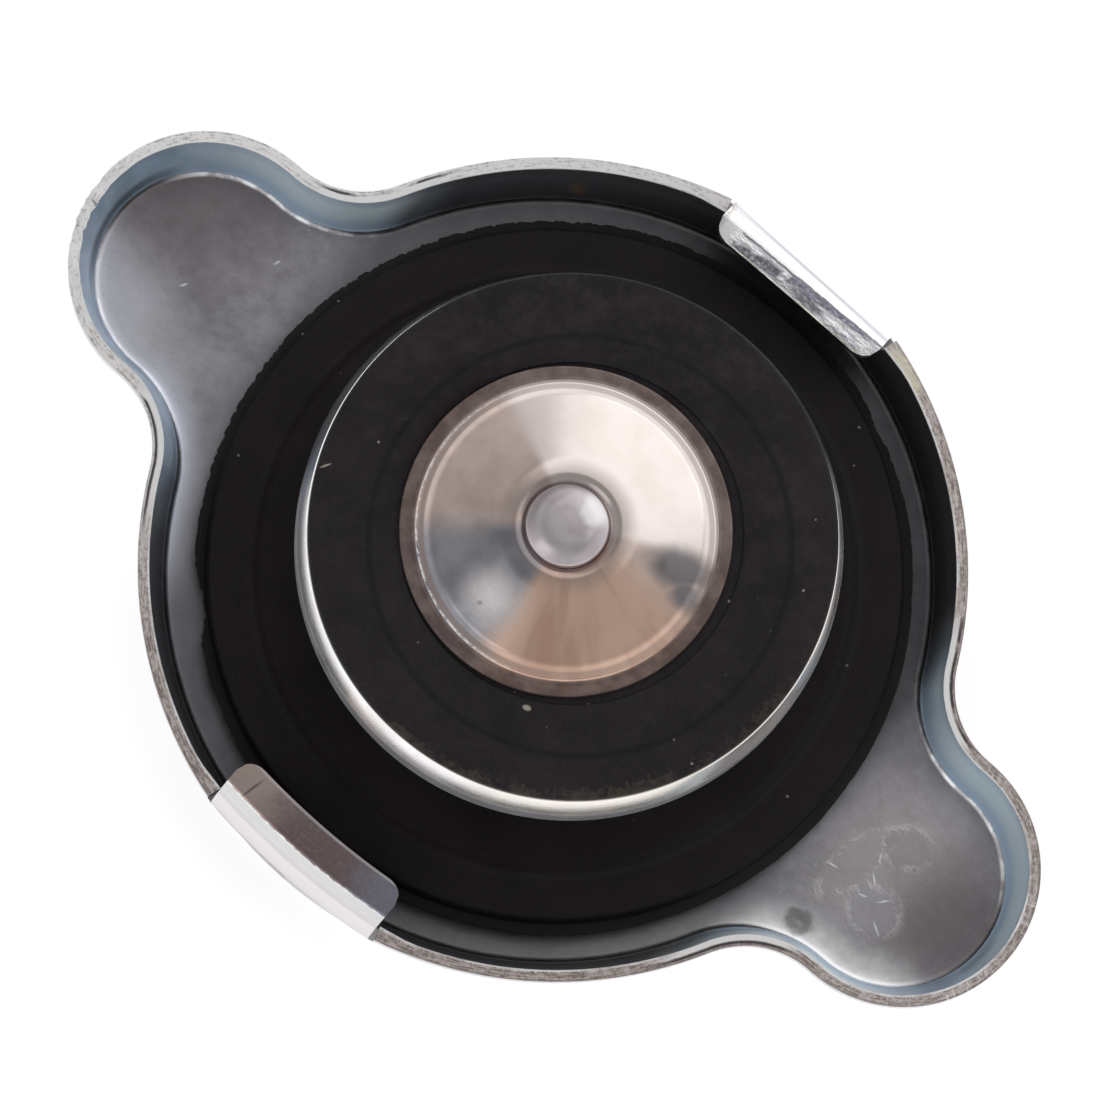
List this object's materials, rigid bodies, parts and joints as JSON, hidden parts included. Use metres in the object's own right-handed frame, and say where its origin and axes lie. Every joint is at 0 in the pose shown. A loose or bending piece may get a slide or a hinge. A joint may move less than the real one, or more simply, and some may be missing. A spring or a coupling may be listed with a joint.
{
  "type": "radiator cap",
  "caption": "Radiator pressure cap with ears, locking tabs, neck gasket, sprung pressure valve and central vacuum valve, resting on its top.",
  "frame": {"origin": "on the cap's axis, in the plane of its outer top face, on which it lies", "axes": "+Z along the cap's axis from the outer top towards the valve, X through the two finger ears, Y through the two locking tabs"},
  "size_m": [0.0648, 0.045, 0.0222],
  "materials": {
    "zinc_shell": "satin zinc plate, blue passivated, sheared bare edge",
    "plated_steel": "bright zinc plate",
    "spring_steel": "drawn spring wire and rolled spring sheet, satin",
    "bright_plate": "bright pressed steel",
    "polished_disc": "polished, faintly warm",
    "gasket_rubber": "matte black rubber with a ragged flash",
    "seal_rubber": "matte dusty black rubber"
  },
  "bodies": {
    "shell": {"cap_shell": "zinc_shell", "centre_rivet": "plated_steel"},
    "valve_unit": {"friction_disc": "spring_steel", "neck_gasket": "gasket_rubber", "spring_seat": "plated_steel", "valve_post": "plated_steel", "pressure_spring": "spring_steel"},
    "pressure_valve": {"catch_sleeve": "plated_steel", "valve_plate": "bright_plate", "pressure_seal": "seal_rubber", "vacuum_spring": "spring_steel"},
    "vacuum_valve": {"vacuum_disc": "polished_disc", "vacuum_stem": "polished_disc", "stem_retainer": "plated_steel"}
  },
  "joints": [
    {"name": "valve_unit_turn", "type": "hinge", "parent": "shell", "child": "valve_unit", "pos_m": [0, 0, 0.0025], "axis": [0, 0, 1], "continuous": true},
    {"name": "pressure_valve_lift", "type": "slide", "parent": "valve_unit", "child": "pressure_valve", "axis": [0, 0, -1], "range_m": [0, 0.004], "stiffness_N_per_m": 5600, "springref_m": -0.0095, "deforming": ["pressure_spring"]},
    {"name": "vacuum_valve_open", "type": "slide", "parent": "pressure_valve", "child": "vacuum_valve", "axis": [0, 0, 1], "range_m": [0, 0.0018], "stiffness_N_per_m": 200, "springref_m": -0.003, "deforming": ["vacuum_spring"]}
  ]
}
